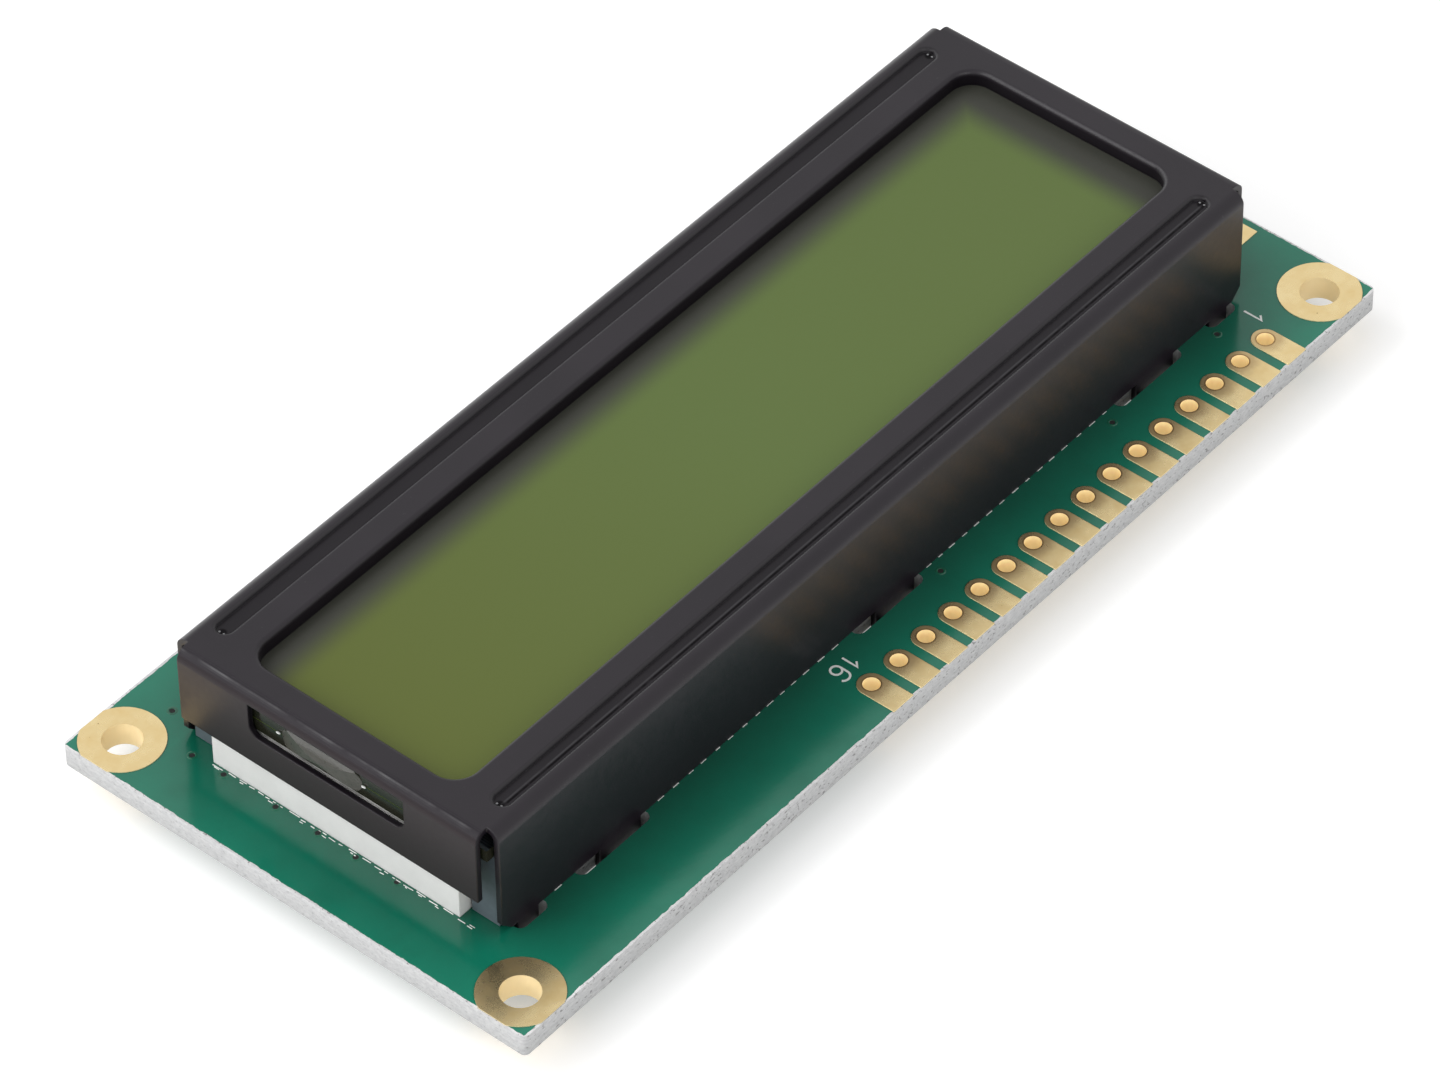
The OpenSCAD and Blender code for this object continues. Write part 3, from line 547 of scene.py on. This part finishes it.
GOLD = gold_material()
WHITE = plain_material("white_plastic", ((0.77, 0.75, 0.745), (0.82, 0.80, 0.795)), 2.2 * MM, (0.42, 0.55),
                       bump=0.014 * MM, bevel=0.10 * MM, subsurface=0.25)
SOLDER = plain_material("solder", ((0.66, 0.66, 0.68), (0.78, 0.78, 0.79)), 0.5 * MM, (0.22, 0.38),
                        metallic=1.0)
RESIN = plain_material("black_resin", ((0.008, 0.008, 0.009), (0.016, 0.016, 0.018)), 1.2 * MM, (0.22, 0.36),
                       bump=0.06 * MM, strength=0.5)
PLUG = plain_material("port_resin", ((0.030, 0.030, 0.022), (0.052, 0.050, 0.039)), 1.4 * MM, (0.25, 0.4),
                      bump=0.05 * MM, subsurface=0.3)
CHIP = plain_material("chip_glass", ((0.012, 0.012, 0.013), (0.022, 0.022, 0.024)), 0.4 * MM, (0.25, 0.35))
CERAMIC = plain_material("chip_ceramic", ((0.23, 0.155, 0.095), (0.29, 0.20, 0.13)), 0.4 * MM, (0.45, 0.6))
SILICON = plain_material("silicon", ((0.10, 0.10, 0.12), (0.15, 0.15, 0.17)), 0.6 * MM, (0.15, 0.25),
                         metallic=0.6)
LAMP = plain_material("light_chip", ((0.60, 0.50, 0.16), (0.68, 0.58, 0.22)), 0.3 * MM, (0.3, 0.45))
INK = plain_material("white_ink", ((0.72, 0.74, 0.72), (0.82, 0.83, 0.81)), 0.5 * MM, (0.5, 0.65))
MASK_RING = plain_material("via_mask", ((0.006, 0.085, 0.05), (0.01, 0.115, 0.062)), 0.5 * MM, (0.12, 0.2))
# near-black discs for the vias' holes: painted shade
VIA_HOLE_SHADE = plain_material("via_hole_shade", ((0.001, 0.002, 0.0015), (0.002, 0.003, 0.0025)), 0.3 * MM, (0.7, 0.9))
# pale beads at the port plug's ends: painted glints
PLUG_GLINT = plain_material("plug_glint_bead", ((0.72, 0.73, 0.72), (0.82, 0.83, 0.82)), 0.3 * MM, (0.08, 0.14),
                      bump=0.004 * MM)

for name, mat in {
    "circuit_board": board_material(), "bezel": bezel_material(),
    "header_pads": gold_material("header_gold", True),
    "mounting_lands": GOLD, "supply_pads": GOLD, "contact_fingers": GOLD,
    "pin_lands": GOLD, "chip_lands": GOLD,
    "front_polarizer": front_film_material(), "front_glass": glass_material(),
    "rear_glass": cell_material("rear_glass", GLASS_EDGE_SHADE), "perimeter_seal": cell_material("seal", SEAL_EDGE),
    "port_plug": PLUG, "rear_polarizer": mirror_material(),
    "contact_strip_upper": strip_material(), "contact_strip_lower": strip_material(),
    "diffusing_film": WHITE, "diffuser_plate": WHITE, "backlight_housing": WHITE, "light_board": WHITE,
    "light_chips": LAMP, "backlight_pins": SOLDER, "pin_solder": SOLDER,
    "controller_die": SILICON, "driver_die": SILICON, "controller_cap": RESIN, "driver_cap": RESIN,
    "chip_resistors": CHIP, "chip_capacitors": CERAMIC, "chip_terminals": SOLDER, "chip_solder": SOLDER,
}.items():
    nodes[name].data.materials.clear()
    nodes[name].data.materials.append(mat)


# ---------------------------------------------------------------- printed marks, vias with painted shade for holes, and beads of painted glint

def add_piece(name, build, mat):
    mesh = bpy.data.meshes.new(name)
    bm = bmesh.new()
    build(bm)
    bmesh.ops.recalc_face_normals(bm, faces=bm.faces)
    bm.to_mesh(mesh)
    bm.free()
    obj = bpy.data.objects.new(name, mesh)
    bpy.context.scene.collection.objects.link(obj)
    obj.data.materials.append(mat)
    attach(obj, "root")


INK_LOW = board_top
INK_HIGH = board_top + 0.018 * MM
LINE_W = 0.14 * MM
# the 6's stem stands this much higher than its bowl, so that no two faces share a plane
LAP = 0.004 * MM


def stroke(bm, path, width, z0, z1, closed=False):
    """A printed line of even width along a path, with mitred corners."""
    pts = [Vector((p[0], p[1])) for p in path]
    count = len(pts)
    rows = []
    for i, p in enumerate(pts):
        before = pts[i - 1] if (closed or i > 0) else None
        after = pts[(i + 1) % count] if (closed or i < count - 1) else None
        d1 = (p - before).normalized() if before is not None else None
        d2 = (after - p).normalized() if after is not None else None
        d = ((d1 or d2) + (d2 or d1)).normalized()
        side = Vector((-d.y, d.x))
        ref = d1 or d2
        scale = 1.0 / max(0.5, side.dot(Vector((-ref.y, ref.x))))
        a = p + side * width / 2 * scale
        b = p - side * width / 2 * scale
        corners = (a.x, a.y, z0), (b.x, b.y, z0), (b.x, b.y, z1), (a.x, a.y, z1)
        rows.append([bm.verts.new(v) for v in corners])
    for i in range(count if closed else count - 1):
        r, s = rows[i], rows[(i + 1) % count]
        for k in range(4):
            m = (k + 1) % 4
            bm.faces.new((r[k], r[m], s[m], s[k]))
    if not closed:
        bm.faces.new(rows[0][::-1])
        bm.faces.new(rows[-1])


def arc(cx, cy, r, a0, a1, steps):
    turns = [math.radians(a0 + (a1 - a0) * i / steps) for i in range(steps + 1)]
    return [(cx + r * math.cos(a), cy + r * math.sin(a)) for a in turns]


def digit_one(bm, x, y, h):
    flag = 0.32 * MM
    stroke(bm, [(x, y), (x, y + h), (x - flag, y + h - flag)], LINE_W, INK_LOW, INK_HIGH)


def digit_six(bm, x, y, h):
    """A closed bowl, and a stem that rises from its left side and hooks over to the right."""
    bowl = 0.36 * MM
    hook = 0.43 * MM
    stroke(bm, arc(x, y + bowl, bowl, 0, 342, 19), LINE_W, INK_LOW, INK_HIGH, closed=True)
    stem = [(x - bowl, y + bowl)] + arc(x - bowl + hook, y + h - hook, hook, 180, 30, 12)
    stroke(bm, stem, LINE_W, INK_LOW, INK_HIGH + LAP)


def number_1(bm):
    digit_one(bm, pin_1_x - 1.2 * MM, header_wall_y + 1.09 * MM, 1.34 * MM)


def number_16(bm):
    digit_one(bm, pin_16_x - 0.58 * MM, header_wall_y + 0.93 * MM, 1.15 * MM)
    digit_six(bm, pin_16_x + 0.44 * MM, header_wall_y + 0.95 * MM, 1.37 * MM)


DASH_WIDTHS = 0.04, 0.06


def broken_line(bm, rng, start, end, dash, gap, wander=0.0):
    """A thin printed line from start to end, worn into dashes."""
    run = Vector(end) - Vector(start)
    along = run.normalized()
    across = Vector((-along.y, along.x))
    done = rng.uniform(0.0, gap[1])
    while done < run.length:
        length = min(rng.uniform(*dash), run.length - done)
        shift = across * rng.uniform(-wander, wander)
        head = Vector(start) + along * done + shift
        tail = head + along * length + across * rng.uniform(-wander, wander) * 0.5
        stroke(bm, [head, tail], rng.uniform(*DASH_WIDTHS) * MM, INK_LOW, INK_HIGH)
        done += length + rng.uniform(*gap)


def printed_outline(bm):
    """The printed lines along the feet of the bezel and of the backlight, worn into dashes."""
    rng = random.Random(4)
    half_slot = 3.6 * MM
    slots = [bezel_mid[0] + k * TAB_PITCH for k in (-1, 0, 1)]
    spans = [(a + half_slot, b - half_slot) for a, b in zip(slots, slots[1:])]
    spans.append((slots[2] + half_slot, slots[2] + half_slot + 1.6 * MM))
    dash, gap = (0.35 * MM, 0.6 * MM), (0.6 * MM, 0.95 * MM)
    for y in (header_wall_y + 0.03 * MM, far_wall_y - 0.03 * MM):
        for start, end in spans:
            broken_line(bm, rng, (start, y), (end, y), dash, gap)
    low_y, high_y = block_lo[1] - 0.3 * MM, block_hi[1] + 1.2 * MM
    for out, dash, gap in ((0.13, (0.2, 0.8), (0.15, 0.5)), (0.27, (0.15, 0.45), (0.6, 2.2))):
        x = block_hi[0] + out * MM
        dash = [v * MM for v in dash]
        gap = [v * MM for v in gap]
        broken_line(bm, rng, (x, low_y), (x, high_y), dash, gap, 0.06 * MM)


# the vias' centres on the board, in mm: beside the +X end wall, along both long walls, and at the -X end
VIAS = [(33.9, -14.85), (35.8, -11.5), (35.76, -9.03), (35.73, -4.95), (35.7, -1.66), (35.72, 1.3),
        (35.65, 4.45), (-30.5, 12.9), (-20.3, 12.75), (-3.8, 12.7), (21.0, -14.2), (-12.6, -14.6),
        (-36.4, 2.1)]
VIA_SIDES = 16
# radius and height over the board of the rings of points that make a via's raised mask, in mm
VIA_PROFILE = (0.34, 0.0), (0.27, 0.02), (0.20, 0.018), (0.18, 0.004)
VIA_HOLE_R = 0.19
VIA_HOLE_H = 0.006


def via_circle(x, y, r):
    """The points of a circle round a via, in metres."""
    turns = [2 * math.pi * i / VIA_SIDES for i in range(VIA_SIDES)]
    return [((x + r * math.cos(a)) * MM, (y + r * math.sin(a)) * MM) for a in turns]


def via_rings(bm):
    for x, y in VIAS:
        rings = []
        for r, z in VIA_PROFILE:
            rings.append([bm.verts.new((*p, board_top + z * MM)) for p in via_circle(x, y, r)])
        for lower, upper in zip(rings, rings[1:]):
            for i in range(VIA_SIDES):
                j = (i + 1) % VIA_SIDES
                bm.faces.new((lower[i], lower[j], upper[j], upper[i]))


# black discs standing in for the vias' open holes: painted shade
def via_hole_shades(bm):
    for x, y in VIAS:
        outline = via_circle(x, y, VIA_HOLE_R)
        low = [bm.verts.new((*p, board_top)) for p in outline]
        high = [bm.verts.new((*p, board_top + VIA_HOLE_H * MM)) for p in outline]
        bm.faces.new(low[::-1])
        bm.faces.new(high)
        for i in range(VIA_SIDES):
            j = (i + 1) % VIA_SIDES
            bm.faces.new((low[i], low[j], high[j], high[i]))


GLINT_BEAD_SIZE = 0.08 * MM, 0.17 * MM, 0.045 * MM, 1.0
GLINT_BEAD_X = 0.10 * MM


def plug_glint_beads(bm):
    """Two small pale beads, one at each end of the port plug: painted glints, standing in for the light the
    plug's ends reflect.
    """
    x = plug_lo[0] + GLINT_BEAD_X
    z = (plug_lo[2] + plug_hi[2]) / 2
    for y, lift in ((plug_lo[1] - 0.22 * MM, 0.10 * MM), (plug_hi[1] + 0.18 * MM, 0.02 * MM)):
        place = Matrix.Translation((x, y, z + lift)) @ Matrix.Diagonal(GLINT_BEAD_SIZE)
        bmesh.ops.create_icosphere(bm, subdivisions=3, radius=1.0, matrix=place)


add_piece("pin_number_1", number_1, INK)
add_piece("pin_number_16", number_16, INK)
add_piece("printed_outline", printed_outline, INK)
add_piece("via_rings", via_rings, MASK_RING)
add_piece("via_hole_shades", via_hole_shades, VIA_HOLE_SHADE)
add_piece("plug_glint_beads", plug_glint_beads, PLUG_GLINT)


# ---------------------------------------------------------------- stage, light and camera

FLOOR_HALF = 3.0
FLOOR_GREY = 0.80
FLOOR_GLOW = 0.34
WORLD_LIGHT = 0.62
# name, place in metres, width, height, watts; every lamp looks at the middle of the board
LAMPS = (("soft_key", (0.68, -0.22, 0.42), 0.55, 0.45, 2.8),
         ("soft_front", (0.20, 0.62, 0.38), 0.5, 0.4, 1.1),
         ("soft_fill", (0.30, -0.50, 0.65), 0.5, 0.5, 2.2))
SENSOR_W, LENS = 36.0, 200.4
CAMERA_TARGET = Vector((1.03, -0.49, -0.46)) * MM
CAMERA_FAR = 483.6 * MM
AZIMUTH, ELEVATION, ROLL = (math.radians(a) for a in (40.85, 45.08, -0.96))


def make_floor():
    """A pale floor that the camera, metal and glass see as white, and that keeps the object's shadow."""
    size, level = FLOOR_HALF, cad_box[0][2]
    mesh = bpy.data.meshes.new("floor")
    mesh.from_pydata([(-size, -size, level), (size, -size, level), (size, size, level), (-size, size, level)],
                     [], [(0, 1, 2, 3)])
    floor = bpy.data.objects.new("floor", mesh)
    bpy.context.scene.collection.objects.link(floor)
    n = Net("pale_floor")
    rays = n.node("ShaderNodeLightPath").outputs
    seen = n.larger(rays["Is Camera Ray"], n.larger(rays["Is Glossy Ray"], rays["Is Transmission Ray"]))
    body = n.node("ShaderNodeBsdfDiffuse", Color=(FLOOR_GREY,) * 3)
    glow = n.node("ShaderNodeEmission", Color=(1, 1, 1), Strength=n.times(seen, FLOOR_GLOW))
    add = n.node("ShaderNodeAddShader")
    n.tree.links.new(body.outputs[0], add.inputs[0])
    n.tree.links.new(glow.outputs[0], add.inputs[1])
    n.tree.links.new(add.outputs[0], n.out.inputs[0])
    floor.data.materials.append(n.mat)


def make_world():
    """An even studio sky: white where it is seen or mirrored, softer as a light."""
    world = bpy.data.worlds.new("studio")
    bpy.context.scene.world = world
    world.use_nodes = True
    tree = world.node_tree
    tree.nodes.clear()
    out = tree.nodes.new("ShaderNodeOutputWorld")
    back = tree.nodes.new("ShaderNodeBackground")
    back.inputs["Color"].default_value = (1, 1, 1, 1)
    path = tree.nodes.new("ShaderNodeLightPath")
    pick = tree.nodes.new("ShaderNodeMapRange")
    pick.inputs["To Min"].default_value = WORLD_LIGHT
    pick.inputs["To Max"].default_value = 1.0
    seen = path.outputs["Is Camera Ray"]
    for ray in ("Is Glossy Ray", "Is Transmission Ray"):
        either = tree.nodes.new("ShaderNodeMath")
        either.operation = "MAXIMUM"
        tree.links.new(seen, either.inputs[0])
        tree.links.new(path.outputs[ray], either.inputs[1])
        seen = either.outputs[0]
    tree.links.new(seen, pick.inputs["Value"])
    tree.links.new(pick.outputs[0], back.inputs["Strength"])
    tree.links.new(back.outputs[0], out.inputs[0])


def make_lamp(name, where, width, height, power):
    data = bpy.data.lights.new(name, "AREA")
    data.shape = "RECTANGLE"
    data.size = width
    data.size_y = height
    data.energy = power
    obj = bpy.data.objects.new(name, data)
    obj.location = where
    obj.rotation_euler = (-Vector(where)).to_track_quat("-Z", "Y").to_euler()
    bpy.context.scene.collection.objects.link(obj)


def make_camera():
    data = bpy.data.cameras.new("camera")
    data.sensor_width = SENSOR_W
    data.lens = LENS
    data.clip_start = 0.01
    obj = bpy.data.objects.new("camera", data)
    away = Vector((math.cos(ELEVATION) * math.cos(AZIMUTH), math.cos(ELEVATION) * math.sin(AZIMUTH),
                   math.sin(ELEVATION)))
    turn = (-away).to_track_quat("-Z", "Y").to_matrix() @ Matrix.Rotation(ROLL, 3, "Z")
    obj.matrix_world = Matrix.Translation(CAMERA_TARGET + away * CAMERA_FAR) @ turn.to_4x4()
    bpy.context.scene.collection.objects.link(obj)
    bpy.context.scene.camera = obj


make_floor()
make_world()
for lamp in LAMPS:
    make_lamp(*lamp)
make_camera()
bpy.context.scene.view_settings.view_transform = "Standard"
